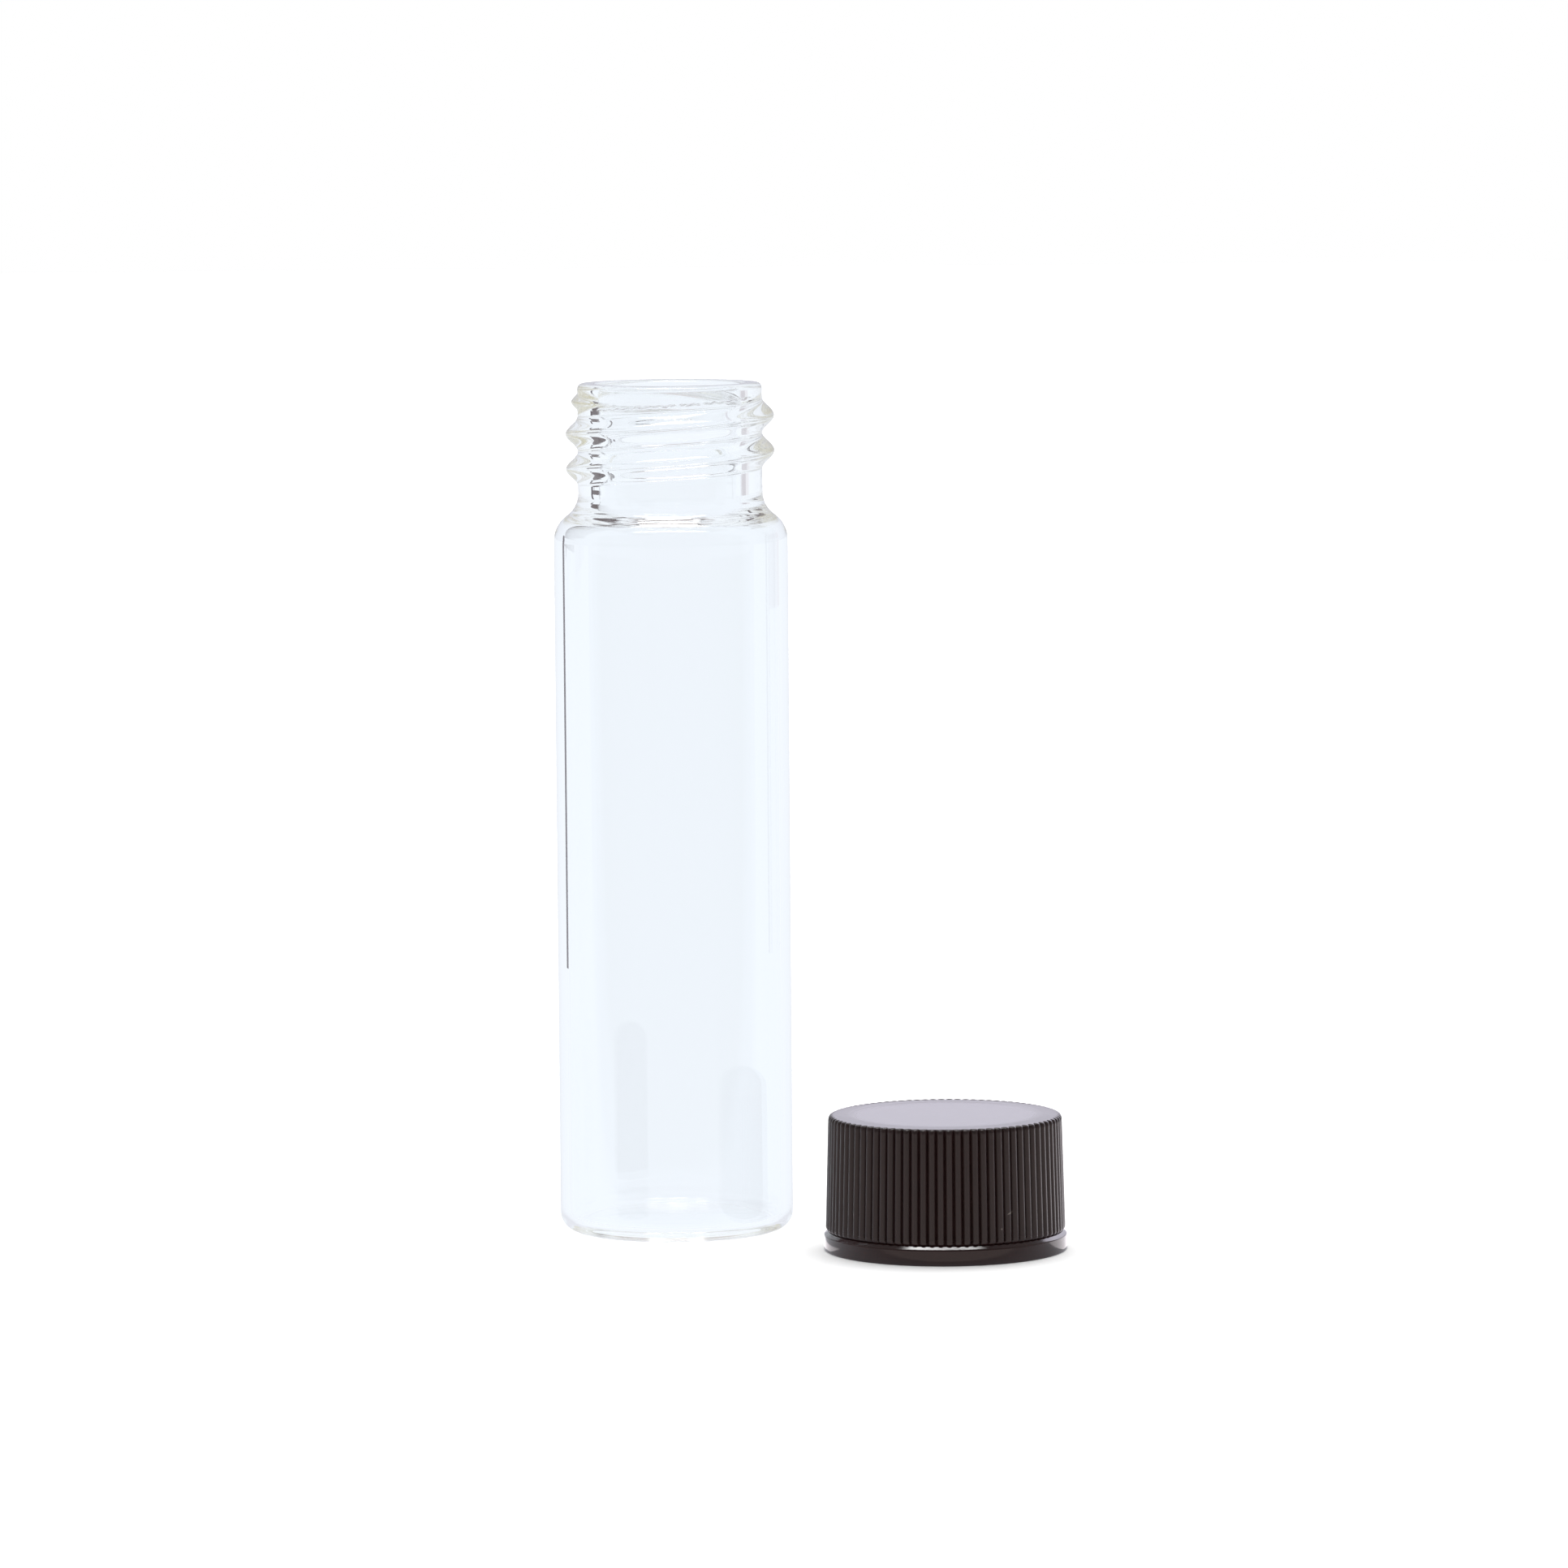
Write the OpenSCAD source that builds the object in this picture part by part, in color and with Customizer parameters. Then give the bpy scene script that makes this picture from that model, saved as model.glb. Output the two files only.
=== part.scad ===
// Glass sample vial with a threaded neck, and its ribbed screw cap taken off and standing beside it.
// Millimetres, +Z up. The origin is the middle of the vial's foot, on the surface that it stands on.

/* [Vial] */
// Outside diameter of the body
body_d = 22; // [20:0.5:28]
// Height from the standing surface to the lip
vial_h = 80; // [50:1:110]
// Wall of the body
body_wall = 0.95; // [0.8:0.05:1.4]
// Thickness of the floor
floor_t = 1.1; // [0.8:0.1:2]
// Rise of the shallow hollow under the foot
push_up = 0.5; // [0.2:0.1:0.8]
// Width of the flat ring that the vial stands on
foot_w = 1.4; // [0.8:0.1:2.5]
// Outside radius where the wall turns into the foot
heel_r = 2; // [1:0.1:3]
// Inside radius where the wall turns into the floor
corner_r = 0.8; // [0.4:0.1:1.6]

/* [Neck] */
// Outside diameter of the neck between the turns of its thread
neck_d = 17.35; // [16.5:0.05:18]
// Diameter of the bore
bore_d = 13.5; // [12:0.1:15]
// Length of straight neck from the lip to the hollow curve above the shoulder
neck_h = 10.3; // [9.5:0.1:13]
// Radius of the hollow curve above the shoulder
hollow_r = 2.6; // [2:0.1:3.5]
// Outside radius of the shoulder
shoulder_r = 2.9; // [2:0.1:4]
// Inside radius of the shoulder
vault_r = 1.6; // [1.2:0.1:2.4]
// Radius where the bore opens into the body
throat_r = 1.9; // [1.8:0.1:2.4]
// Drop from the end of the straight neck outside to the end of the bore inside
throat_drop = 0.8; // [0.6:0.1:1.8]
// Radius of the fire-polished edges of the lip
lip_r = 0.5; // [0.3:0.05:0.7]

/* [Thread] */
// Diameter over the crest of the neck's thread
thread_d = 19.6; // [19:0.05:20.2]
// Rise of the thread in one turn
thread_pitch = 3.3; // [3.1:0.05:3.6]
// Width of a thread's ridge at its root
thread_w = 2.5; // [2:0.05:2.7]
// Drop from the lip to the crest at the lower end of the neck's thread
thread_drop = 8.6; // [8.2:0.1:9]
// Turns of the neck's thread, run-outs included
thread_turns = 2.25; // [1.2:0.05:2.3]
// Turns of the thread inside the cap, run-outs included
cap_thread_turns = 1.5; // [1:0.1:2]
// Clear gap between the thread's crests and the wall that faces them
thread_gap = 0.2; // [0.1:0.05:0.4]

/* [Cap] */
// Height of the cap
cap_h = 12.6; // [12:0.1:15]
// Wall of the cap at its top, under the ribs
cap_wall = 0.6; // [0.6:0.05:1.2]
// Thickness of the cap's top
cap_top_t = 1.3; // [1:0.1:1.8]
// Radius of the cap's upper edge, over the ribs
cap_edge_r = 0.75; // [0.6:0.05:1]
// Width of the rim around the panel in the cap's top
rim_w = 2.2; // [1.4:0.1:3]
// Depth of the panel in the cap's top
panel_depth = 0.12; // [0.08:0.02:0.4]
// Number of ribs
rib_count = 84; // [48:2:96]
// Radius of a rib
rib_r = 0.36; // [0.28:0.01:0.36]
// Height that a rib stands out of the wall
rib_proud = 0.26; // [0.15:0.01:0.27]
// Draft of the cap's side in degrees
cap_draft = 1.5; // [0.5:0.1:2]
// Height of the plain band at the open end
band_h = 1.8; // [1.2:0.1:3]
// Distance that the band stands out past the ribs
band_proud = 0.16; // [0.1:0.02:0.4]
// Thickness of the sealing disc
liner_t = 1.2; // [0.8:0.1:1.6]

/* [Place] */
// Clear gap between the vial and the cap that stands beside it
cap_gap = 6.6; // [2:0.2:20]
// Direction from the vial to the cap, in degrees from +X
cap_bearing = -30.3; // [-180:0.1:180]

/* [Hidden] */
$fn = 96;
// Straight steps in each rounded stretch of a profile, and in one turn of a thread
arc_steps = 8;
turn_steps = 40;
// Angle over which a thread rises out of the wall at each end, and the share of its section left there
runout_deg = 70;
runout_share = 0.15;
// Depth that a thread is rooted in the wall that carries it
thread_root = 0.3;
// Clear gap between the disc and the cap's wall
liner_gap = 0.2;
// Bevel at the panel's rim and at the edges of the open end
panel_bevel = 0.5;
band_bevel = 0.3;
// Height of the cap's thread above its open end
cap_thread_rise = 1.9;
// Drop of the ribs' lower ends into the band
rib_sink = 0.4;
// Direction, in degrees from +X, where the neck's thread begins
thread_start_deg = 118;
// Overrun of cutting shapes
overrun = 0.3;
// Rounded crest of a thread: share of its height, share of its half width
crest_shares = [[0.84, 0.4], [0.96, 0.2], [1, 0], [0.96, -0.2], [0.84, -0.4]];

body_r = body_d / 2;
inner_r = body_r - body_wall;
neck_r = neck_d / 2;
bore_r = bore_d / 2;
thread_r = thread_d / 2;
foot_in_r = body_r - heel_r - foot_w;
floor_r = inner_r - corner_r;

// Outside of the shoulder: a hollow curve and a round one that meet at shoulder_deg from level
shoulder_deg = acos(1 - (body_r - neck_r) / (shoulder_r + hollow_r));
hollow_z = vial_h - neck_h;
shoulder_z = hollow_z - (shoulder_r + hollow_r) * sin(shoulder_deg);
// Inside of the shoulder: the round throat and the vault over the body meet at vault_deg from level
vault_deg = acos(1 - (inner_r - bore_r) / (vault_r + throat_r));
throat_z = hollow_z - throat_drop;
vault_z = throat_z - (vault_r + throat_r) * sin(vault_deg);

cap_in_r = thread_r + thread_gap;
cap_top_r = cap_in_r + cap_wall;
rib_top_r = cap_top_r + rib_proud;
rib_h = cap_h - band_h;
rib_base_r = rib_top_r + rib_h * tan(cap_draft);
band_r = rib_base_r + band_proud;
panel_r = rib_top_r - rim_w;
liner_z = cap_h - cap_top_t - liner_t;
cap_place = (body_r + cap_gap + band_r) * [cos(cap_bearing), sin(cap_bearing)];

// Points of an arc from angle a0 to angle a1
function arc(c, r, a0, a1) =
    [for (i = [0:arc_steps]) let (a = a0 + (a1 - a0) * i / arc_steps) c + r * [cos(a), sin(a)]];

// Points of a shallow dome from the axis out to radius r, rising by h on the axis
function dome(r, z, h) =
    let (big_r = (r * r + h * h) / (2 * h), a = asin(r / big_r))
    arc([0, z + h - big_r], big_r, 90, 90 - a);

// Reversed list of points
function back(points) = [for (i = [len(points) - 1:-1:0]) points[i]];

// Section of a ridge of height h: its root lies thread_root inside the wall, its flanks are straight
function ridge_section(h) =
    let (first = crest_shares[0],
         root_half = thread_w / 2 * (1 + (1 - first[1]) / first[0] * thread_root / h))
    concat([[0, root_half]],
           [for (s = crest_shares) [thread_root + s[0] * h, s[1] * thread_w / 2]],
           [[0, -root_half]]);

// Share of the full section at step i of n, growing over the run-out at both ends
function ridge_share(i, n) =
    let (ends = runout_deg / 360 * turn_steps)
    runout_share + (1 - runout_share) * min(1, i / ends, (n - i) / ends);

// Right-hand helical ridge on a wall of radius wall_r: side is 1 on its outside and -1 on its inside
module helical_ridge(wall_r, h, side, turns) {
    section = ridge_section(h);
    n = round(turns * turn_steps);
    m = len(section);
    points = [
        for (i = [0:n])
            let (a = 360 * i / turn_steps, k = ridge_share(i, n), z = thread_pitch * i / turn_steps)
            for (p = section)
                let (r = wall_r + side * (k * p[0] - thread_root))
                [r * cos(a), r * sin(a), z + side * k * p[1]]
    ];
    sides = [
        for (i = [0:n - 1])
            for (j = [0:m - 1])
                let (p = i * m + j, q = i * m + (j + 1) % m)
                each [[p, q + m, q], [p, p + m, q + m]]
    ];
    ends = [[for (j = [0:m - 1]) j], [for (j = [m - 1:-1:0]) n * m + j]];
    polyhedron(points, concat(sides, ends));
}

// Half section of the glass, from the hollow under the foot, up the outside and down the inside
module vial_section() {
    polygon(concat(
        dome(foot_in_r, 0, push_up),
        arc([body_r - heel_r, heel_r], heel_r, -90, 0),
        arc([body_r - shoulder_r, shoulder_z], shoulder_r, 0, shoulder_deg),
        arc([neck_r + hollow_r, hollow_z], hollow_r, 180 + shoulder_deg, 180),
        arc([neck_r - lip_r, vial_h - lip_r], lip_r, 0, 90),
        arc([bore_r + lip_r, vial_h - lip_r], lip_r, 90, 180),
        arc([bore_r + throat_r, throat_z], throat_r, 180, 180 + vault_deg),
        arc([inner_r - vault_r, vault_z], vault_r, vault_deg, 0),
        arc([floor_r, floor_t + corner_r], corner_r, 0, -90),
        back(dome(floor_r, floor_t, push_up))
    ));
}

module vial_body() {
    color([0.84, 0.92, 0.96, 0.4])
    union() {
        rotate_extrude() vial_section();
        translate([0, 0, vial_h - thread_drop])
            rotate(thread_start_deg)
            helical_ridge(neck_r, thread_r - neck_r, 1, thread_turns);
    }
}

// Half section of the cap without its ribs, from the panel, down the outside and up the inside
module cap_section() {
    core_edge_r = cap_edge_r - rib_proud;
    edge_z = cap_h - core_edge_r;
    core_base_r = rib_base_r - rib_proud;
    polygon(concat(
        [[0, cap_h - panel_depth],
         [panel_r, cap_h - panel_depth],
         [panel_r + panel_bevel, cap_h]],
        arc([cap_top_r - core_edge_r, edge_z], core_edge_r, 90, 0),
        [[core_base_r, band_h],
         [band_r - band_bevel, band_h],
         [band_r, band_h - band_bevel],
         [band_r, 0],
         [cap_in_r + band_bevel, 0],
         [cap_in_r, band_bevel],
         [cap_in_r, cap_h - cap_top_t],
         [0, cap_h - cap_top_t]]
    ));
}

// Space inside the cap's rounded upper edge, which trims the ribs
module rib_envelope() {
    side_r = rib_top_r + overrun;
    rotate_extrude()
        polygon(concat(
            [[0, 0], [band_r + overrun, 0]],
            [[side_r, cap_h - cap_edge_r]],
            arc([rib_top_r - cap_edge_r, cap_h - cap_edge_r], cap_edge_r, 0, 90),
            [[0, cap_h]]
        ));
}

// One upright rib, leaning in with the draft of the cap's side
module rib() {
    translate([rib_base_r - rib_r / cos(cap_draft), 0, band_h])
        rotate([0, -cap_draft, 0])
        translate([0, 0, -rib_sink])
        cylinder(r = rib_r, h = rib_h + rib_sink);
}

module screw_cap() {
    color([0.16, 0.14, 0.14])
    translate(cap_place)
    union() {
        rotate_extrude() cap_section();
        intersection() {
            union()
                for (i = [0:rib_count - 1])
                    rotate(360 * i / rib_count) rib();
            rib_envelope();
        }
        translate([0, 0, cap_thread_rise])
            helical_ridge(cap_in_r, thread_r - neck_r, -1, cap_thread_turns);
    }
}

module cap_liner() {
    color([0.93, 0.93, 0.9])
    translate(concat(cap_place, liner_z))
    cylinder(r = cap_in_r - liner_gap, h = liner_t);
}

vial_body();
screw_cap();
cap_liner();
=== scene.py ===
import math
import bpy
from mathutils import Matrix, Vector


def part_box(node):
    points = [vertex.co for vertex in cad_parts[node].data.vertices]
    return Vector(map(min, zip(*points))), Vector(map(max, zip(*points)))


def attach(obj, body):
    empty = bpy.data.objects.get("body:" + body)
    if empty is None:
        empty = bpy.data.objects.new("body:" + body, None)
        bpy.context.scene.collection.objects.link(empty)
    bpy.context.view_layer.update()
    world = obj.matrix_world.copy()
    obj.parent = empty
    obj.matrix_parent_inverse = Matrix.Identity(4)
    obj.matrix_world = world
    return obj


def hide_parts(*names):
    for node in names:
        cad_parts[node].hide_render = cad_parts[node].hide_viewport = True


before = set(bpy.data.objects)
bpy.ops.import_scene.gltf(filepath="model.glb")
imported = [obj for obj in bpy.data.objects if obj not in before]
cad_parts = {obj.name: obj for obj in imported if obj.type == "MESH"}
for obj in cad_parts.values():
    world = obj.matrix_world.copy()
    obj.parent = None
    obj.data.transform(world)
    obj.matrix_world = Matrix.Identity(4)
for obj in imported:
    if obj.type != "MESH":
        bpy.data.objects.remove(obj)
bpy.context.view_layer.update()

mm = 0.001
fullTurn = 2 * math.pi
weldGap = 2e-7                   # metres, vertices nearer than this are one
shortestStep = 1e-6              # metres, a section has no step shorter than this
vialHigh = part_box("vial_body")[1]
capLow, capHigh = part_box("screw_cap")
linerLow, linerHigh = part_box("cap_liner")
print("frame loaded:", sorted(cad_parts))


# drawing helpers: a half section is a list of (radius, height) in mm, from the axis out and back to it
def clearSelection():
    if bpy.context.object and bpy.context.object.mode != "OBJECT":
        bpy.ops.object.mode_set(mode="OBJECT")
    bpy.ops.object.select_all(action="DESELECT")


def arc(centre, radius, fromDeg, toDeg, steps):
    points = []
    for i in range(steps + 1):
        a = math.radians(fromDeg + (toDeg - fromDeg) * i / steps)
        points.append((centre[0] + radius * math.cos(a), centre[1] + radius * math.sin(a)))
    return points


def dome(radius, z, rise, steps):
    # shallow dome from the axis out to its rim
    big = (radius * radius + rise * rise) / (2 * rise)
    half = math.degrees(math.asin(radius / big))
    return arc((0, z + rise - big), big, 90, 90 - half, steps)


def straight(start, end, steps):
    # points between two ends, both left out
    return [(start[0] + (end[0] - start[0]) * i / steps,
             start[1] + (end[1] - start[1]) * i / steps) for i in range(1, steps)]


def softStep(s):
    # eases from 0 to 1
    return s * s * (3 - 2 * s)


def fadeIn(share):
    # rises from 0 to 1 along a quarter wave, and stays there
    return 1 if share >= 1 else math.sin(math.pi / 2 * share)


def spinPiece(name, section, centre, steps):
    # one vertex is drawn out along the half section, spun round the axis and moved to its place
    clearSelection()
    bpy.ops.mesh.primitive_plane_add(size=mm, location=(0, 0, 0))
    piece = bpy.context.object
    piece.name = piece.data.name = name
    bpy.ops.object.mode_set(mode="EDIT")
    bpy.ops.mesh.select_all(action="SELECT")
    bpy.ops.mesh.merge(type="CENTER")
    at = Vector((section[0][0] * mm, 0, section[0][1] * mm))
    bpy.ops.transform.translate(value=at)
    for r, z in section[1:]:
        to = Vector((r * mm, 0, z * mm))
        if (to - at).length > shortestStep:
            bpy.ops.mesh.extrude_vertices_move(TRANSFORM_OT_translate={"value": to - at})
            at = to
    bpy.ops.object.mode_set(mode="OBJECT")
    turn = piece.modifiers.new("turn", "SCREW")
    turn.axis = "Z"
    turn.angle = fullTurn
    turn.steps = turn.render_steps = steps
    turn.use_merge_vertices = True
    turn.merge_threshold = weldGap
    bpy.ops.object.modifier_apply(modifier="turn")
    bpy.ops.object.mode_set(mode="EDIT")
    bpy.ops.mesh.select_all(action="SELECT")
    bpy.ops.mesh.remove_doubles(threshold=weldGap)
    bpy.ops.mesh.normals_make_consistent(inside=False)
    bpy.ops.transform.translate(value=(centre[0], centre[1], 0))
    bpy.ops.object.mode_set(mode="OBJECT")
    bpy.ops.object.shade_smooth()
    return piece


def raiseSurface(piece, name, height, share):
    # lifts the surface along its normal by height times share(place), place being a vertex
    group = piece.vertex_groups.new(name=name)
    for vertex in piece.data.vertices:
        w = share(vertex.co)
        if w > 0:
            group.add([vertex.index], min(w, 1), "REPLACE")
    lift = piece.modifiers.new(name, "DISPLACE")
    lift.direction = "NORMAL"
    lift.vertex_group = name
    lift.mid_level = 0
    lift.strength = height
    bpy.context.view_layer.objects.active = piece
    bpy.ops.object.modifier_apply(modifier=name)


# shader helpers
def newMaterial(name, keepShader=True):
    material = bpy.data.materials.new(name)
    material.use_nodes = True
    nodes = material.node_tree.nodes
    if not keepShader:
        nodes.remove(nodes["Principled BSDF"])
    return material, nodes, material.node_tree.links


def addNode(nodes, kind, **values):
    node = nodes.new(kind)
    for key, value in values.items():
        if key in node.inputs:
            node.inputs[key].default_value = value
        else:
            setattr(node, key, value)
    return node


def mapRange(nodes, fromLow, fromHigh, toLow=0, toHigh=1, **values):
    node = addNode(nodes, "ShaderNodeMapRange", **values)
    ends = {"From Min": fromLow, "From Max": fromHigh, "To Min": toLow, "To Max": toHigh}
    for end, value in ends.items():
        node.inputs[end].default_value = value
    return node


def colourRamp(nodes, low, high):
    ramp = addNode(nodes, "ShaderNodeValToRGB")
    ramp.color_ramp.elements[0].color = low
    ramp.color_ramp.elements[1].color = high
    return ramp


def spotMapping(nodes, place, size, leanDeg=0):
    # coordinates that run from 0 at a place to 1 at its size
    spot = addNode(nodes, "ShaderNodeMapping", vector_type="TEXTURE")
    spot.inputs["Location"].default_value = place
    spot.inputs["Rotation"].default_value = (0, math.radians(leanDeg), 0)
    spot.inputs["Scale"].default_value = size
    return spot


# camera, at the photograph's place
photoView = {
    "place": (0, -753.28, 113.48),   # mm
    "lens": 184.3, "sensor": 36,     # mm
    "yaw": 0.01388, "pitch": 0.09448, "roll": -0.0078,
}
cameraData = bpy.data.cameras.new("photoCamera")
cameraData.sensor_width = photoView["sensor"]
cameraData.lens = photoView["lens"]
camera = bpy.data.objects.new("photoCamera", cameraData)
bpy.context.scene.collection.objects.link(camera)
camera.matrix_world = (
    Matrix.Translation(Vector(photoView["place"]) * mm)
    @ Matrix.Rotation(-photoView["yaw"], 4, "Z")
    @ Matrix.Rotation(math.pi / 2 - photoView["pitch"], 4, "X")
    @ Matrix.Rotation(photoView["roll"], 4, "Z"))
bpy.context.scene.camera = camera
print("camera placed")


# vial, in mm and degrees
vial = {
    "bodyR": vialHigh.x / mm, "height": vialHigh.z / mm,
    "wall": 0.95, "floor": 1.1, "pushUp": 0.5, "footW": 0.4, "heelR": 1.65, "cornerR": 0.8,
    "neckR": 8.675, "boreR": 6.75, "neckH": 10.3, "hollowR": 2.6, "shoulderR": 2.9,
    "vaultR": 1.6, "throatR": 1.9, "throatDrop": 0.8, "lipR": 0.5,
    "threadR": 9.8, "pitch": 3.3, "threadHalf": 1.66, "threadDrop": 8.6, "threadStart": 118,
    "threadTurns": 2.27, "runout": 70, "endRunout": 110, "endDrop": 0.6, "endShare": 0.1, "lipFade": 0.5,
    "markRise": 2.1, "markHalf": 0.085, "markShare": 0.035, "markFrom": -150, "markTo": -20, "markEnds": 15,
    "markWander": 0.05, "wanderRate": 0.9, "speckRates": (2.9, 1.7), "speckShift": 1.3,
    "onWall": 0.02,                  # a vertex this near to the neck's wall is on it
    "steps": 288, "neckRows": 150, "domeRows": 12, "bendRows": 14,
    "cornerRows": 10, "lipRows": 8, "wallRows": 8,
}


def vialSection(v):
    innerR = v["bodyR"] - v["wall"]
    footR = v["bodyR"] - v["heelR"] - v["footW"]
    floorR = innerR - v["cornerR"]
    cornerZ = v["floor"] + v["cornerR"]
    hollowZ = v["height"] - v["neckH"]
    throatZ = hollowZ - v["throatDrop"]
    lipZ = v["height"] - v["lipR"]
    outside = v["shoulderR"] + v["hollowR"]
    shoulderDeg = math.degrees(math.acos(1 - (v["bodyR"] - v["neckR"]) / outside))
    shoulderZ = hollowZ - outside * math.sin(math.radians(shoulderDeg))
    inside = v["vaultR"] + v["throatR"]
    vaultDeg = math.degrees(math.acos(1 - (innerR - v["boreR"]) / inside))
    vaultZ = throatZ - inside * math.sin(math.radians(vaultDeg))
    bend, wall, lip = v["bendRows"], v["wallRows"], v["lipRows"]
    return (
        dome(footR, 0, v["pushUp"], v["domeRows"])
        + arc((v["bodyR"] - v["heelR"], v["heelR"]), v["heelR"], -90, 0, bend)
        + straight((v["bodyR"], v["heelR"]), (v["bodyR"], shoulderZ), wall)
        + arc((v["bodyR"] - v["shoulderR"], shoulderZ), v["shoulderR"], 0, shoulderDeg, bend)
        + arc((v["neckR"] + v["hollowR"], hollowZ), v["hollowR"], 180 + shoulderDeg, 180, bend)
        + straight((v["neckR"], hollowZ), (v["neckR"], lipZ), v["neckRows"])
        + arc((v["neckR"] - v["lipR"], lipZ), v["lipR"], 0, 90, lip)
        + arc((v["boreR"] + v["lipR"], lipZ), v["lipR"], 90, 180, lip)
        + straight((v["boreR"], lipZ), (v["boreR"], throatZ), wall)
        + arc((v["boreR"] + v["throatR"], throatZ), v["throatR"], 180, 180 + vaultDeg, bend)
        + arc((innerR - v["vaultR"], vaultZ), v["vaultR"], vaultDeg, 0, bend)
        + straight((innerR, vaultZ), (innerR, cornerZ), wall)
        + arc((floorR, cornerZ), v["cornerR"], 0, -90, v["cornerRows"])
        + list(reversed(dome(floorR, v["floor"], v["pushUp"], v["domeRows"]))))


def vialPlace(place):
    return math.hypot(place.x, place.y) / mm, math.degrees(math.atan2(place.y, place.x)), place.z / mm


def rollerMark(deg, z):
    # rough hairline that the forming roller left across the front of the neck, along the thread: 0 to 1
    v = vial
    if not v["markFrom"] < deg < v["markTo"]:
        return 0
    turn = (deg - v["threadStart"]) % 360 + 360
    middle = v["height"] - v["threadDrop"] + v["pitch"] * turn / 360 + v["markRise"]
    t = (z - middle - v["markWander"] * math.sin(deg * v["wanderRate"])) / v["markHalf"]
    if abs(t) >= 1:
        return 0
    fine, coarse = v["speckRates"]
    specks = 0.5 + 0.5 * math.sin(deg * fine) * math.sin(deg * coarse + v["speckShift"])
    ends = min(1, (deg - v["markFrom"]) / v["markEnds"], (v["markTo"] - deg) / v["markEnds"])
    return specks * ends * (1 - t * t)


def neckThread(place):
    # share of the thread's height at a place on the neck's outside
    v = vial
    r, deg, z = vialPlace(place)
    if abs(r - v["neckR"]) > v["onWall"] or z < v["height"] - v["neckH"] - v["hollowR"]:
        return 0
    whole = v["threadTurns"] * 360
    turn = (deg - v["threadStart"]) % 360
    best = 0
    while turn <= whole:
        crest = v["height"] - v["threadDrop"] + v["pitch"] * turn / 360
        k = fadeIn(min(turn / v["runout"], (whole - turn) / v["endRunout"]))
        if turn > 360:               # the upper end sinks a little as it runs out
            crest -= v["endDrop"] * (1 - k)
        if k > 0:
            t = (z - crest) / (v["threadHalf"] * (v["endShare"] + (1 - v["endShare"]) * k))
            if abs(t) < 1:
                best = max(best, k * math.cos(math.pi / 2 * t) ** 2)
        turn += 360
    toLip = max(0, min(1, (v["height"] - v["lipR"] - z) / v["lipFade"]))
    return max(best * softStep(toLip), v["markShare"] * rollerMark(deg, z))


glassVial = spinPiece("glass_vial", vialSection(vial), (0, 0), vial["steps"])
raiseSurface(glassVial, "neckThread", (vial["threadR"] - vial["neckR"]) * mm, neckThread)
marks = glassVial.data.attributes.new("rollerMark", "FLOAT", "POINT")     # the line is grey as well as rough
for vertex, mark in zip(glassVial.data.vertices, marks.data):
    r, deg, z = vialPlace(vertex.co)
    if r > vial["neckR"] - vial["onWall"] and z > vial["height"] - vial["neckH"]:
        mark.value = rollerMark(deg, z)
print("vial modelled:", len(glassVial.data.polygons), "faces")


# screw cap, in mm and degrees
cap = {
    "centre": ((capLow.x + capHigh.x) / 2, (capLow.y + capHigh.y) / 2),       # metres
    "height": capHigh.z / mm, "bandR": (capHigh.x - capLow.x) / 2 / mm, "bandH": 1.8,
    "bandEdge": 0.34,
    "bandRows": (0.02, 0.08),        # rows close under the chamfer keep its shading off the band
    "wallTopR": 10.54, "wallBaseR": 10.823, "edgeR": 0.2,
    "ribs": 84, "ribSteps": 10, "ribR": 0.36, "ribProud": 0.32, "ribEdgeR": 0.52,
    "rimW": 2.2, "rimFall": 0.06,
    "panelDepth": 0.1, "panelBevel": 0.7, "bevelInShare": 0.7, "panelDish": 0.08,
    "boreR": 10.0, "topT": 1.3, "ceilingShare": 0.97, "footEdge": 0.12, "mouthEdge": 0.25,
    "threadR": 8.875, "pitch": 3.3, "threadHalf": 1.26, "threadPower": 1.4,
    "threadRise": 1.9, "threadTurns": 1.5, "runout": 70, "endShare": 0.55,
    "onWall": 0.02, "onRib": 0.01, "overLedge": 0.001,   # how near a vertex is to count as on a surface
    "bevelRows": 12, "dishRows": 8, "edgeRows": 10, "sideRows": 8,
    "tipRows": 6, "mouthRows": 4, "boreRows": 40,
    "creaseDeg": 50,                 # the shading breaks at edges sharper than this
}


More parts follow.
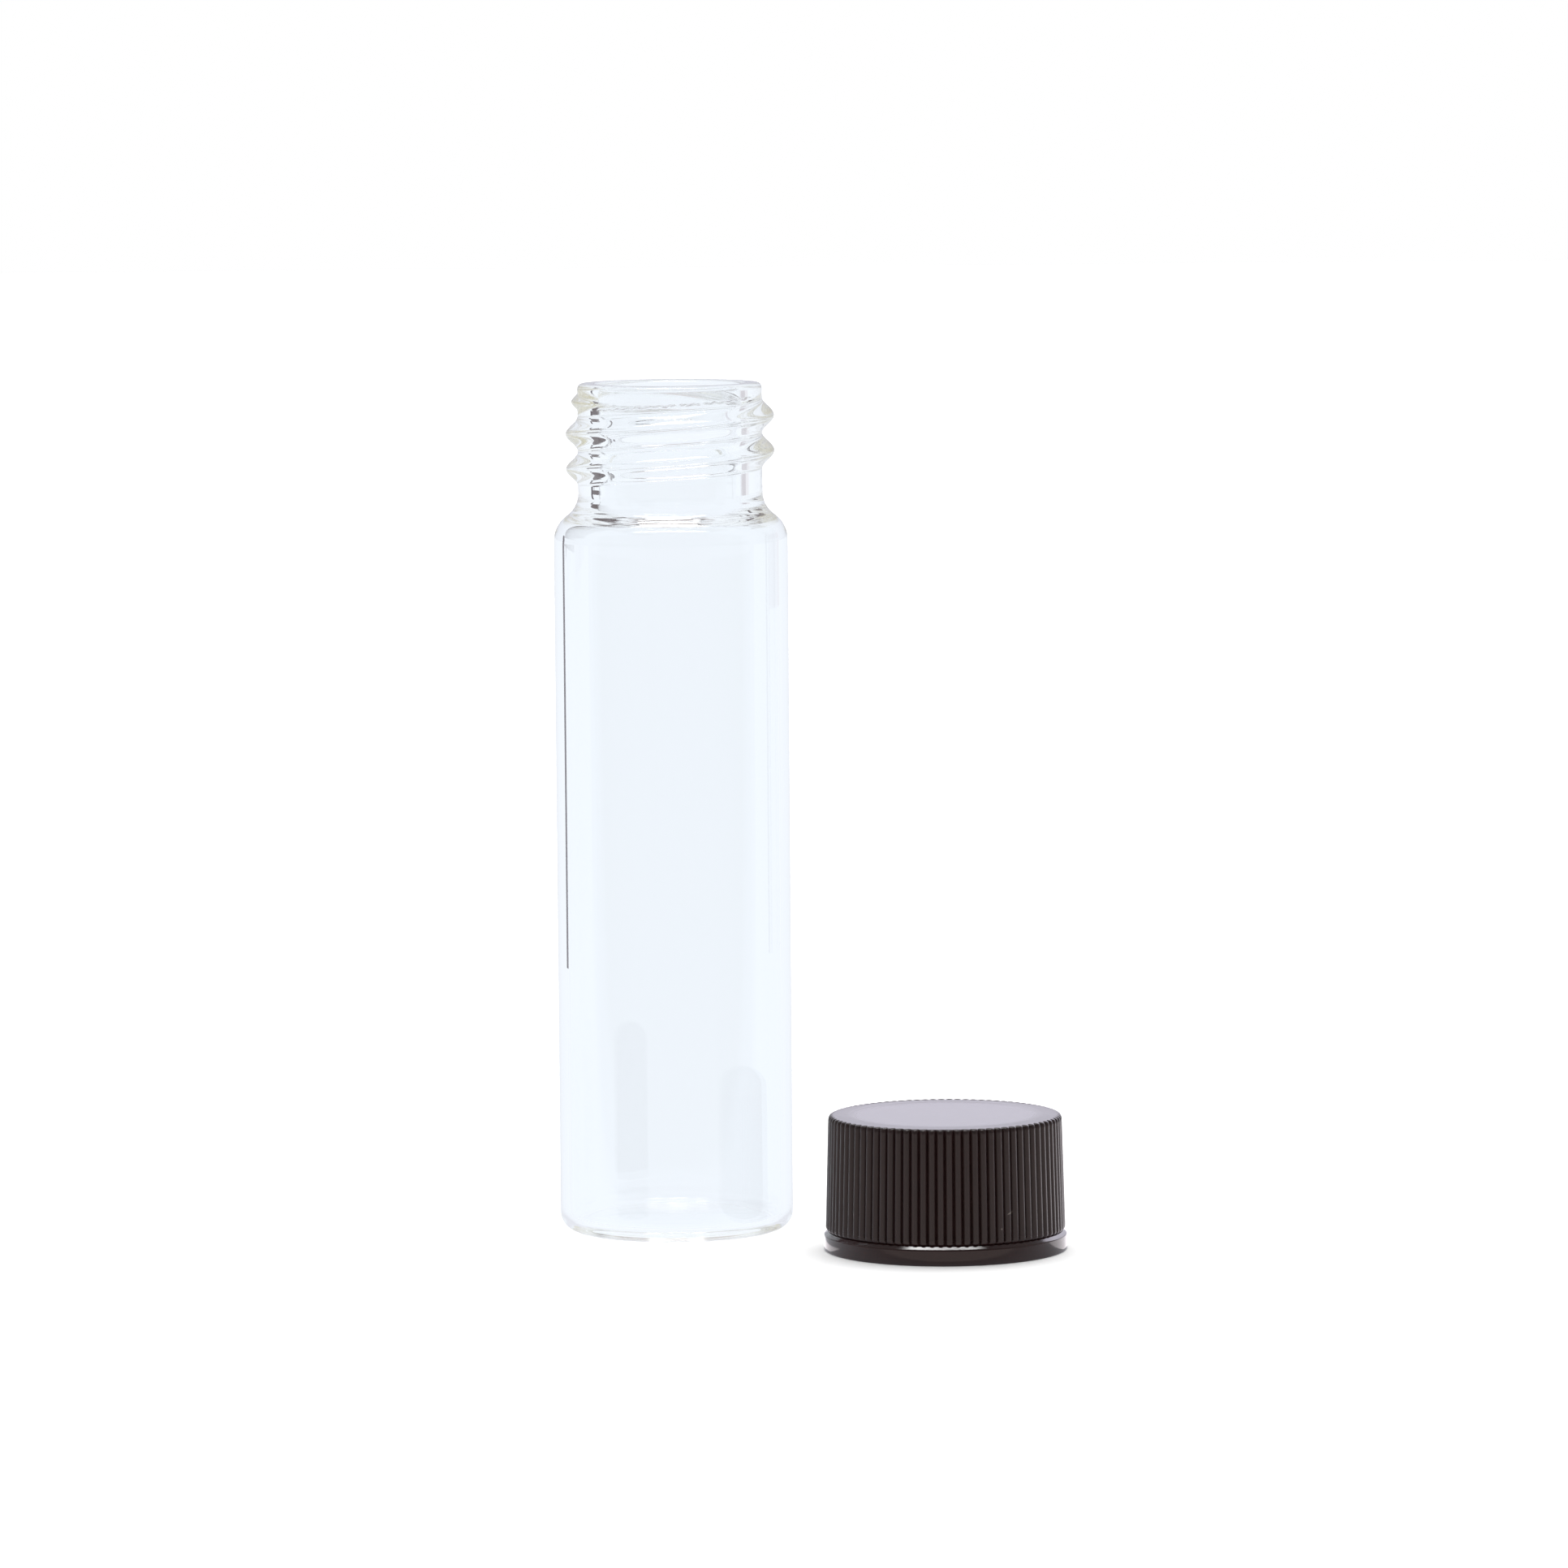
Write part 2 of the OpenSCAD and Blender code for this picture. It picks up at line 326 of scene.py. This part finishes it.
def capSection(c):
    edgeZ = c["height"] - c["edgeR"] - c["rimFall"]
    panelR = c["wallTopR"] + c["ribProud"] - c["rimW"] - c["bevelInShare"] * c["panelBevel"]
    panelZ = c["height"] - c["panelDepth"]
    ceilingZ = c["height"] - c["topT"]
    ledgeZ = c["bandH"]
    chamferR = c["bandR"] - c["bandEdge"]
    chamferZ = ledgeZ - c["bandEdge"]
    inwards = [i / c["dishRows"] for i in range(c["dishRows"])]
    dish = [(panelR * s, panelZ - c["panelDish"] * (1 - s * s)) for s in inwards]
    rising = [i / c["bevelRows"] for i in range(c["bevelRows"] + 1)]
    bevel = [(panelR + c["panelBevel"] * s, panelZ + c["panelDepth"] * softStep(s)) for s in rising]
    ribTips = [math.cos(math.pi / 2 * i / c["tipRows"]) for i in range(c["tipRows"], 0, -1)]
    side = straight((c["wallTopR"], edgeZ), (c["wallTopR"], edgeZ - c["ribEdgeR"]), c["sideRows"])
    widen = (c["wallTopR"] - c["wallBaseR"]) / (edgeZ - ledgeZ)
    for tip in ribTips:
        rise = c["ribR"] * (1 - tip)
        side.append((c["wallBaseR"] + widen * rise, ledgeZ + rise))
    return (
        dish + bevel
        + arc((c["wallTopR"] - c["edgeR"], edgeZ), c["edgeR"], 90, 0, c["edgeRows"])
        + side
        + [(c["wallBaseR"], ledgeZ), (chamferR, ledgeZ)]
        + straight((chamferR, ledgeZ), (c["bandR"], chamferZ), c["sideRows"])
        + [(c["bandR"], chamferZ - row) for row in c["bandRows"]]
        + [(c["bandR"], c["mouthEdge"])]
        + arc((c["bandR"] - c["footEdge"], c["footEdge"]), c["footEdge"], 0, -90, c["mouthRows"])
        + arc((c["boreR"] + c["mouthEdge"], c["mouthEdge"]), c["mouthEdge"], 270, 180, c["mouthRows"])
        + straight((c["boreR"], c["mouthEdge"]), (c["boreR"], ceilingZ), c["boreRows"])
        + [(c["boreR"], ceilingZ), (c["boreR"] * c["ceilingShare"], ceilingZ), (0, ceilingZ)])


def capPlace(place):
    x, y = place.x - cap["centre"][0], place.y - cap["centre"][1]
    return math.hypot(x, y) / mm, math.degrees(math.atan2(y, x)), place.z / mm


def ribTop(z):
    # share of a rib's height where its upper end rounds over the cap's edge
    c = cap
    over = z - (c["height"] - c["ribEdgeR"])
    if over <= 0:
        return 1
    coreZ = c["height"] - c["edgeR"]
    gap = c["ribEdgeR"] - c["edgeR"]
    if z < coreZ:
        out = math.sqrt(c["ribEdgeR"] ** 2 - over * over) - c["edgeR"]
    else:
        s = (z - coreZ) / c["edgeR"]
        out = -gap * s + math.sqrt(gap * gap * s * s + c["ribEdgeR"] ** 2 - gap * gap) - c["edgeR"]
    return max(0, out / c["ribProud"])


def capRib(place):
    # share of a rib's height at a place on the cap's side
    c = cap
    r, deg, z = capPlace(place)
    if r < c["wallTopR"] - c["edgeR"] + c["onRib"] or z < c["bandH"] + c["overLedge"]:
        return 0
    pitchDeg = 360 / c["ribs"]
    off = math.radians((deg + pitchDeg / 2) % pitchDeg - pitchDeg / 2) * r
    if abs(off) >= c["ribR"]:
        return 0
    across = (math.sqrt(c["ribR"] ** 2 - off * off) - (c["ribR"] - c["ribProud"])) / c["ribProud"]
    low = (z - c["bandH"]) / c["ribR"]
    foot = 1 if low >= 1 else math.sqrt(max(0, 1 - (1 - low) ** 2))
    return max(0, across) * min(foot, ribTop(z))


def capThread(place):
    # share of the inner thread's height at a place on the cap's bore
    c = cap
    r, deg, z = capPlace(place)
    if abs(r - c["boreR"]) > c["onWall"] or z < c["mouthEdge"]:
        return 0
    whole = c["threadTurns"] * 360
    turn = deg % 360
    best = 0
    while turn <= whole:
        crest = c["threadRise"] + c["pitch"] * turn / 360
        k = fadeIn(min(turn, whole - turn) / c["runout"])
        if k > 0:
            t = (z - crest) / (c["threadHalf"] * (c["endShare"] + (1 - c["endShare"]) * k))
            if abs(t) < 1:
                best = max(best, k * (1 - t * t) ** c["threadPower"])
        turn += 360
    return best


ribbedCap = spinPiece("ribbed_cap", capSection(cap), cap["centre"], cap["ribs"] * cap["ribSteps"])
raiseSurface(ribbedCap, "ribs", cap["ribProud"] * mm, capRib)
raiseSurface(ribbedCap, "capThread", (cap["boreR"] - cap["threadR"]) * mm, capThread)
clearSelection()
ribbedCap.select_set(True)
bpy.context.view_layer.objects.active = ribbedCap
bpy.ops.object.shade_smooth_by_angle(angle=math.radians(cap["creaseDeg"]))
print("cap modelled:", len(ribbedCap.data.polygons), "faces")


# sealing disc, in mm
disc = {
    "centre": ((linerLow.x + linerHigh.x) / 2, (linerLow.y + linerHigh.y) / 2),   # metres
    "r": (linerHigh.x - linerLow.x) / 2 / mm, "low": linerLow.z / mm, "high": linerHigh.z / mm,
    "edge": 0.18, "ringShare": 0.6, "edgeRows": 5, "steps": 144,
}


def discSection(d):
    edgeR = d["r"] - d["edge"]
    ringR = d["r"] * d["ringShare"]
    return (
        [(0, d["low"]), (ringR, d["low"])]
        + arc((edgeR, d["low"] + d["edge"]), d["edge"], -90, 0, d["edgeRows"])
        + arc((edgeR, d["high"] - d["edge"]), d["edge"], 0, 90, d["edgeRows"])
        + [(ringR, d["high"]), (0, d["high"])])


sealDisc = spinPiece("sealing_disc", discSection(disc), disc["centre"], disc["steps"])
print("disc modelled:", len(sealDisc.data.polygons), "faces")


# clear glass, with a faint ripple, the roller's grey line, and olive where light goes a long way in it
glassFinish = {
    "tint": (0.985, 0.992, 1.0, 1), "scored": (0.3, 0.24, 0.24, 1), "ior": 1.47,
    "wave": 0.004, "waveScale": 60, "waveDetail": 2, "waveDepth": 0.3,            # depth in mm
    "depthTint": (0.8, 0.75, 0.45, 1), "depth": 2.3,
}


def makeGlass(f):
    material, nodes, links = newMaterial("clearGlass")
    shader = nodes["Principled BSDF"]
    shader.inputs["Roughness"].default_value = 0
    shader.inputs["IOR"].default_value = f["ior"]
    shader.inputs["Transmission Weight"].default_value = 1
    mark = addNode(nodes, "ShaderNodeAttribute", attribute_name="rollerMark")
    scored = addNode(nodes, "ShaderNodeMixRGB", Color1=f["tint"], Color2=f["scored"])
    links.new(mark.outputs["Fac"], scored.inputs["Fac"])
    links.new(scored.outputs["Color"], shader.inputs["Base Color"])
    inside = addNode(nodes, "ShaderNodeVolumeAbsorption", Color=f["depthTint"], Density=f["depth"])
    links.new(inside.outputs[0], nodes["Material Output"].inputs["Volume"])
    coords = addNode(nodes, "ShaderNodeTexCoord")
    wave = addNode(nodes, "ShaderNodeTexNoise", Scale=f["waveScale"], Detail=f["waveDetail"])
    ripple = addNode(nodes, "ShaderNodeBump", Strength=f["wave"], Distance=f["waveDepth"] * mm)
    links.new(coords.outputs["Object"], wave.inputs["Vector"])
    links.new(wave.outputs["Fac"], ripple.inputs["Height"])
    links.new(ripple.outputs["Normal"], shader.inputs["Normal"])
    return material


# black plastic: satin sides, smoother band, a panel glossier than its rim, and two nicks
plasticFinish = {
    "darker": (0.0135, 0.0045, 0.0042, 1), "lighter": (0.0195, 0.007, 0.0066, 1), "ior": 1.6,
    "mottle": 700, "mottleDetail": 3, "grain": 9000, "grainDetail": 2, "satin": 0.06, "satinDepth": 0.05,
    "bandRough": 0.1, "sideRough": 0.32, "panelRough": 0.245, "spread": 0.03,
    "bandFade": 0.6, "panelFade": 0.5,   # mm
    "bare": (0.15, 0.125, 0.11, 1), "nickEdge": 2,
    "nicks": (                           # place in mm, lean in degrees, size in mm
        ((30.56, -24.0, 4.63), -25.6, (0.36, 0.6, 0.08)),
        ((29.78, -24.58, 3.23), 0, (0.09, 0.5, 0.09))),
}


def nickedColour(nodes, links, coords, colour, f):
    # the colour with each nick's bare plastic laid over it
    for place, leanDeg, size in f["nicks"]:
        spot = spotMapping(nodes, Vector(place) * mm, Vector(size) * mm, leanDeg)
        fromMiddle = addNode(nodes, "ShaderNodeTexGradient", gradient_type="SPHERICAL")
        deep = addNode(nodes, "ShaderNodeMath", operation="MULTIPLY", use_clamp=True)
        deep.inputs[1].default_value = f["nickEdge"]
        scuffed = addNode(nodes, "ShaderNodeMixRGB", Color2=f["bare"])
        links.new(coords.outputs["Object"], spot.inputs["Vector"])
        links.new(spot.outputs["Vector"], fromMiddle.inputs["Vector"])
        links.new(fromMiddle.outputs["Fac"], deep.inputs[0])
        links.new(deep.outputs["Value"], scuffed.inputs["Fac"])
        links.new(colour, scuffed.inputs["Color1"])
        colour = scuffed.outputs["Color"]
    return colour


def panelGloss(nodes, links, coords, f):
    # what the panel's roughness differs by from the rim's, and 0 outside the panel
    bandR = cap["bandR"]
    panelR = cap["wallTopR"] + cap["ribProud"] - cap["rimW"]
    fromAxis = spotMapping(nodes, (*cap["centre"], 0), (bandR * mm, bandR * mm, 1))
    inwards = addNode(nodes, "ShaderNodeTexGradient", gradient_type="SPHERICAL")
    onPanel = mapRange(nodes, 1 - (panelR + f["panelFade"]) / bandR, 1 - (panelR - f["panelFade"]) / bandR,
                       0, f["panelRough"] - f["sideRough"])
    links.new(coords.outputs["Object"], fromAxis.inputs["Vector"])
    links.new(fromAxis.outputs["Vector"], inwards.inputs["Vector"])
    links.new(inwards.outputs["Fac"], onPanel.inputs["Value"])
    return onPanel.outputs["Result"]


def makePlastic(f):
    material, nodes, links = newMaterial("blackPlastic")
    shader = nodes["Principled BSDF"]
    shader.inputs["IOR"].default_value = f["ior"]
    coords = addNode(nodes, "ShaderNodeTexCoord")
    split = addNode(nodes, "ShaderNodeSeparateXYZ")
    mottle = addNode(nodes, "ShaderNodeTexNoise", Scale=f["mottle"], Detail=f["mottleDetail"])
    shade = colourRamp(nodes, f["darker"], f["lighter"])
    links.new(coords.outputs["Object"], split.inputs["Vector"])
    links.new(coords.outputs["Object"], mottle.inputs["Vector"])
    links.new(mottle.outputs["Fac"], shade.inputs["Fac"])
    links.new(nickedColour(nodes, links, coords, shade.outputs["Color"], f), shader.inputs["Base Color"])
    fadeFrom = cap["bandH"] * mm
    fadeTo = fadeFrom + f["bandFade"] * mm
    byHeight = mapRange(nodes, fadeFrom, fadeTo, f["bandRough"], f["sideRough"])
    gloss = addNode(nodes, "ShaderNodeMath", operation="MULTIPLY_ADD")
    gloss.inputs[1].default_value = f["spread"]
    rough = addNode(nodes, "ShaderNodeMath", operation="ADD")
    links.new(split.outputs["Z"], byHeight.inputs["Value"])
    links.new(mottle.outputs["Fac"], gloss.inputs[0])
    links.new(byHeight.outputs["Result"], gloss.inputs[2])
    links.new(gloss.outputs["Value"], rough.inputs[0])
    links.new(panelGloss(nodes, links, coords, f), rough.inputs[1])
    links.new(rough.outputs["Value"], shader.inputs["Roughness"])
    grain = addNode(nodes, "ShaderNodeTexNoise", Scale=f["grain"], Detail=f["grainDetail"])
    satin = addNode(nodes, "ShaderNodeBump", Strength=f["satin"], Distance=f["satinDepth"] * mm)
    links.new(coords.outputs["Object"], grain.inputs["Vector"])
    links.new(grain.outputs["Fac"], satin.inputs["Height"])
    links.new(satin.outputs["Normal"], shader.inputs["Normal"])
    return material


# pale foam with fine cells
foamFinish = {
    "wall": (0.8, 0.8, 0.77, 1), "pore": (0.72, 0.72, 0.69, 1), "cells": 5200,
    "rough": 0.6, "bump": 0.25, "bumpDepth": 0.05,                                # depth in mm
}


def makeFoam(f):
    material, nodes, links = newMaterial("linerFoam")
    shader = nodes["Principled BSDF"]
    shader.inputs["Roughness"].default_value = f["rough"]
    coords = addNode(nodes, "ShaderNodeTexCoord")
    cells = addNode(nodes, "ShaderNodeTexVoronoi", Scale=f["cells"])
    shade = colourRamp(nodes, f["wall"], f["pore"])
    pores = addNode(nodes, "ShaderNodeBump", Strength=f["bump"], Distance=f["bumpDepth"] * mm)
    links.new(coords.outputs["Object"], cells.inputs["Vector"])
    links.new(cells.outputs["Distance"], shade.inputs["Fac"])
    links.new(shade.outputs["Color"], shader.inputs["Base Color"])
    links.new(cells.outputs["Distance"], pores.inputs["Height"])
    links.new(pores.outputs["Normal"], shader.inputs["Normal"])
    return material


for piece, material, node, slotName in (
        (glassVial, makeGlass(glassFinish), "vial_body", "clear_glass"),
        (ribbedCap, makePlastic(plasticFinish), "screw_cap", "black_plastic"),
        (sealDisc, makeFoam(foamFinish), "cap_liner", "liner_foam")):
    piece.data.materials.clear()
    piece.data.materials.append(material)
    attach(piece, "root")
    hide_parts(node)
print("finishes set")


# studio, in metres
studio = {
    "floorSize": 6, "board": (0.8, 0.8, 0.8, 1), "floorPaint": (0.86, 0.86, 0.86, 1),
    # painted shade: the near colour and before darken the floor in front of the pieces, as a shine and as a
    # reflection in the glass show it
    "shadedNearFloor": (0.3, 0.27, 0.27, 1), "farFloor": (0.8, 0.82, 0.88, 1),      # as a shine shows the floor
    "before": (0.62, 0.64, 0.62, 1), "beyond": (0.945, 0.992, 1.045, 1),      # as the glass shows the floor
    "nearY": -0.03, "farY": -0.012,
    "straightOn": 0.5,                   # light with a glossy depth under this has met no reflection
    "sun": 2.2, "sunTilt": -14, "sunSpread": 38,
    "bounces": 1000,                     # light runs round and round inside the thread's glass
}


def addCard(name, size, place, turnDeg=0, tiltDeg=90):
    clearSelection()
    bpy.ops.mesh.primitive_plane_add(size=1, location=(0, 0, 0))
    card = bpy.context.object
    card.name = card.data.name = name
    card.data.transform(
        Matrix.Translation(Vector(place))
        @ Matrix.Rotation(math.radians(turnDeg), 4, "Z")
        @ Matrix.Rotation(math.radians(tiltDeg), 4, "X")
        @ Matrix.Diagonal((size[0], size[1], 1, 1)))
    return card


def hideFrom(card, *rays):
    for ray in rays:
        setattr(card, "visible_" + ray, False)


def glowMaterial(name, colour):
    material, nodes, links = newMaterial(name, keepShader=False)
    shine = addNode(nodes, "ShaderNodeEmission", Color=colour, Strength=1)
    links.new(shine.outputs[0], nodes["Material Output"].inputs["Surface"])
    return material


def pickShader(nodes, links, choice, other, chosen):
    pick = addNode(nodes, "ShaderNodeMixShader")
    links.new(choice, pick.inputs[0])
    links.new(other.outputs[0], pick.inputs[1])
    links.new(chosen.outputs[0], pick.inputs[2])
    return pick


def makeFloor(s):
    # white with shadows to the camera: a shine, or light through the glass, shows it in other colours, with
    # painted shade on the floor in front of the pieces
    material, nodes, links = newMaterial("whiteFloor", keepShader=False)
    lightPath = addNode(nodes, "ShaderNodeLightPath")
    coords = addNode(nodes, "ShaderNodeTexCoord")
    split = addNode(nodes, "ShaderNodeSeparateXYZ")
    fade = mapRange(nodes, s["nearY"], s["farY"])
    links.new(coords.outputs["Object"], split.inputs["Vector"])
    links.new(split.outputs["Y"], fade.inputs["Value"])
    # painted shade: a shine sees the floor in front of the pieces darker
    sheetShade = colourRamp(nodes, s["shadedNearFloor"], s["farFloor"])
    sheet = addNode(nodes, "ShaderNodeEmission", Strength=1)
    links.new(fade.outputs["Result"], sheetShade.inputs["Fac"])
    links.new(sheetShade.outputs["Color"], sheet.inputs["Color"])
    straightOn = addNode(nodes, "ShaderNodeMath", operation="LESS_THAN")
    straightOn.inputs[1].default_value = s["straightOn"]
    brightest = addNode(nodes, "ShaderNodeMath", operation="MAXIMUM")
    # painted shade: a reflection seen in the glass sees the floor in front of the pieces darker
    beyondShade = colourRamp(nodes, s["before"], s["beyond"])
    beyond = addNode(nodes, "ShaderNodeEmission", Strength=1)
    links.new(lightPath.outputs["Glossy Depth"], straightOn.inputs[0])
    links.new(straightOn.outputs["Value"], brightest.inputs[0])
    links.new(fade.outputs["Result"], brightest.inputs[1])
    links.new(brightest.outputs["Value"], beyondShade.inputs["Fac"])
    links.new(beyondShade.outputs["Color"], beyond.inputs["Color"])
    board = addNode(nodes, "ShaderNodeBsdfDiffuse", Color=s["board"])
    paint = addNode(nodes, "ShaderNodeBsdfDiffuse", Color=s["floorPaint"])
    seen = pickShader(nodes, links, lightPath.outputs["Is Camera Ray"], board, paint)
    seen = pickShader(nodes, links, lightPath.outputs["Is Glossy Ray"], seen, sheet)
    seen = pickShader(nodes, links, lightPath.outputs["Is Transmission Ray"], seen, beyond)
    links.new(seen.outputs[0], nodes["Material Output"].inputs["Surface"])
    return material


floor = addCard("studioFloor", (studio["floorSize"], studio["floorSize"]), (0, 0, 0), tiltDeg=0)
floor.data.materials.append(makeFloor(studio))
print("floor laid")


# upright cards that draw the lines in the glass, each between two directions from the vial
uprightCards = {                         # 0 degrees is straight behind the vial, and - is to the left
    "neckCard": {"span": (-39.2, -64), "away": 0.25, "low": 0.057, "height": 0.013,
                 "colour": (0.13, 0.105, 0.11, 1)},
    "bodyCard": {"span": (-38.95, -43.55), "away": 0.218, "low": 0, "height": 0.072,
                 "colour": (0.06, 0.035, 0.045, 1)},
    "greyCard": {"span": (49, 62), "away": 0.25, "low": 0.043, "height": 0.057,
                 "colour": (0.66, 0.64, 0.68, 1)},
    "paleCard": {"span": (41, 49), "away": 0.25, "low": 0.043, "height": 0.057,
                 "colour": (0.86, 0.86, 0.9, 1)},
}
cornerCard = {                           # leans over from the neck's dark card towards the top
    "size": (0.27, 0.18), "place": (-0.01, 0, 0.066), "leanDeg": -54, "riseDeg": 57, "away": 0.25,
    "colour": (0.13, 0.105, 0.11, 1),
}
ceilingCard = {                          # dark room round the strip
    "size": (0.7, 0.45), "place": (-0.012, -0.1, 0.62), "colour": (0.45, 0.39, 0.38, 1),
}


def glassCard(name, card, colour):
    # only light through the glass sees it
    card.data.materials.append(glowMaterial(name, colour))
    hideFrom(card, "camera", "diffuse", "shadow", "glossy")


def outwards(deg, away):
    return Vector((math.sin(math.radians(deg)), math.cos(math.radians(deg)), 0)) * away


for name, c in uprightCards.items():
    start, end = (outwards(deg, c["away"]) for deg in c["span"])
    along = end - start
    middle = (start + end) / 2 + Vector((0, 0, c["low"] + c["height"] / 2))
    turnDeg = math.degrees(math.atan2(along.y, along.x))
    glassCard(name, addCard(name, (along.length, c["height"]), middle, turnDeg), c["colour"])

leaning = addCard("cornerCard", cornerCard["size"], (0, 0, 0))
leaning.data.transform(
    Matrix.Translation(Vector(cornerCard["place"]))
    @ Matrix.Rotation(math.radians(cornerCard["leanDeg"]), 4, "Y")
    @ Matrix.Rotation(math.radians(cornerCard["riseDeg"]), 4, "X")
    @ Matrix.Translation(Vector((0, cornerCard["away"], 0))))
glassCard("cornerCard", leaning, cornerCard["colour"])
overhead = addCard("ceilingCard", ceilingCard["size"], ceilingCard["place"], tiltDeg=0)
glassCard("ceilingCard", overhead, ceilingCard["colour"])


# light sheets that shine on the cap alone, low at the foot and high at the rise: clear to every other ray
capSheets = {
    "backSheet": {"size": (1.8, 0.75), "place": (0, 0.7, 0.375), "tilt": 90,
                  "colour": (0.9, 0.87, 1, 1), "low": 0.3, "high": 2.8, "rise": 0.45},
    "lowSheet": {"size": (0.29, 0.32), "place": (0.157, 0.142, 0.0003), "tilt": 0,
                 "colour": (1, 0.92, 0.94, 1), "low": 1.3, "high": 1.3, "rise": 0.1},
    "frontSheet": {"size": (0.6, 0.5), "place": (0.025, -0.277, 0.0003), "tilt": 0,
                   "colour": (1, 0.87, 0.8, 1), "low": 0.3, "high": 0.3, "rise": 0.1},
}


def makeSheet(name, s):
    material, nodes, links = newMaterial(name, keepShader=False)
    coords = addNode(nodes, "ShaderNodeTexCoord")
    split = addNode(nodes, "ShaderNodeSeparateXYZ")
    byRise = mapRange(nodes, 0, s["rise"], s["low"], s["high"])
    shine = addNode(nodes, "ShaderNodeEmission", Color=s["colour"])
    clear = addNode(nodes, "ShaderNodeBsdfTransparent")
    both = addNode(nodes, "ShaderNodeAddShader")
    links.new(coords.outputs["Object"], split.inputs["Vector"])
    links.new(split.outputs["Z"], byRise.inputs["Value"])
    links.new(byRise.outputs["Result"], shine.inputs["Strength"])
    links.new(shine.outputs[0], both.inputs[0])
    links.new(clear.outputs[0], both.inputs[1])
    links.new(both.outputs[0], nodes["Material Output"].inputs["Surface"])
    return material


capOnly = bpy.data.collections.new("capOnly")
capOnly.objects.link(ribbedCap)
for name, s in capSheets.items():
    lightSheet = addCard(name, s["size"], s["place"], tiltDeg=s["tilt"])
    lightSheet.data.materials.append(makeSheet(name, s))
    lightSheet.light_linking.receiver_collection = capOnly
    hideFrom(lightSheet, "camera", "diffuse", "transmission", "shadow")


# strip light overhead, with soft edges, for the highlights
strip = {"size": (0.6, 0.13), "place": (-0.012, -0.074, 0.6), "strength": 15, "fullAt": 0.45}


def makeStrip(s):
    material, nodes, links = newMaterial("overheadStrip", keepShader=False)
    coords = addNode(nodes, "ShaderNodeTexCoord")
    centred = spotMapping(nodes, s["place"], (s["size"][0] / 2, s["size"][1] / 2, 1))
    inOval = addNode(nodes, "ShaderNodeTexGradient", gradient_type="SPHERICAL")
    fade = mapRange(nodes, 0, s["fullAt"], 0, s["strength"], interpolation_type="SMOOTHSTEP")
    shine = addNode(nodes, "ShaderNodeEmission", Color=(1, 1, 1, 1))
    links.new(coords.outputs["Object"], centred.inputs["Vector"])
    links.new(centred.outputs["Vector"], inOval.inputs["Vector"])
    links.new(inOval.outputs["Fac"], fade.inputs["Value"])
    links.new(fade.outputs["Result"], shine.inputs["Strength"])
    links.new(shine.outputs[0], nodes["Material Output"].inputs["Surface"])
    return material


overBox = addCard("overheadStrip", strip["size"], strip["place"], tiltDeg=0)
overBox.data.materials.append(makeStrip(strip))
hideFrom(overBox, "camera", "diffuse", "shadow")
print("cards and light sheets set")


# surroundings: each kind of light has its own colours, by how far its direction leans to one side, -1 to 1
surroundings = {
    "light": {"towards": (0, 1, 0), "stops": (
        (-0.7, (0.6, 0.6, 0.6, 1)), (0.1, (1, 1, 1, 1)), (0.7, (1.6, 1.6, 1.6, 1)))},
    "through": {"towards": (0, -0.85, 0.53), "stops": (
        (0.5, studio["beyond"]), (0.8, (0.78, 0.73, 0.75, 1)))},
    "shine": {"towards": (0, 1, 0), "stops": (
        (-0.8, (0.1, 0.095, 0.095, 1)), (0, (0.3, 0.28, 0.28, 1)), (0.3, (0.3, 0.28, 0.28, 1)),
        (0.75, (0.55, 0.55, 0.62, 1)))},
}


def leaningShade(nodes, links, coords, towards, stops):
    lean = addNode(nodes, "ShaderNodeVectorMath", operation="DOT_PRODUCT")
    lean.inputs[1].default_value = towards
    spread = mapRange(nodes, -1, 1)
    ramp = addNode(nodes, "ShaderNodeValToRGB")
    while len(ramp.color_ramp.elements) < len(stops):
        ramp.color_ramp.elements.new(0.5)
    for element, (place, colour) in zip(ramp.color_ramp.elements, stops):
        element.position = (place + 1) / 2
        element.color = colour
    shade = addNode(nodes, "ShaderNodeBackground", Strength=1)
    links.new(coords.outputs["Generated"], lean.inputs[0])
    links.new(lean.outputs["Value"], spread.inputs["Value"])
    links.new(spread.outputs["Result"], ramp.inputs["Fac"])
    links.new(ramp.outputs["Color"], shade.inputs["Color"])
    return shade


def makeWorld(sides):
    world = bpy.data.worlds.new("studioWorld")
    world.use_nodes = True
    nodes, links = world.node_tree.nodes, world.node_tree.links
    lightPath = addNode(nodes, "ShaderNodeLightPath")
    coords = addNode(nodes, "ShaderNodeTexCoord")
    white = nodes["Background"]
    white.inputs["Color"].default_value = (1, 1, 1, 1)
    white.inputs["Strength"].default_value = 1
    light, through, shine = (
        leaningShade(nodes, links, coords, **sides[kind]) for kind in ("light", "through", "shine"))
    seen = pickShader(nodes, links, lightPath.outputs["Is Camera Ray"], light, white)
    seen = pickShader(nodes, links, lightPath.outputs["Is Glossy Ray"], seen, shine)
    seen = pickShader(nodes, links, lightPath.outputs["Is Transmission Ray"], seen, through)
    links.new(seen.outputs[0], nodes["World Output"].inputs["Surface"])
    return world


bpy.context.scene.world = makeWorld(surroundings)

floorOnly = bpy.data.collections.new("floorOnly")
floorOnly.objects.link(floor)
sunData = bpy.data.lights.new("highSun", "SUN")      # draws the short shadows, and lights only the floor
sunData.energy = studio["sun"]
sunData.angle = math.radians(studio["sunSpread"])
sun = bpy.data.objects.new("highSun", sunData)
sun.rotation_euler = (math.radians(studio["sunTilt"]), 0, 0)
sun.light_linking.receiver_collection = floorOnly
bpy.context.scene.collection.objects.link(sun)
glassVial.visible_shadow = False                     # clear glass lets the light through to the floor

bpy.context.scene.view_settings.view_transform = "Standard"
cycles = bpy.context.scene.cycles
cycles.max_bounces = cycles.transmission_bounces = cycles.glossy_bounces = studio["bounces"]
print("studio set")
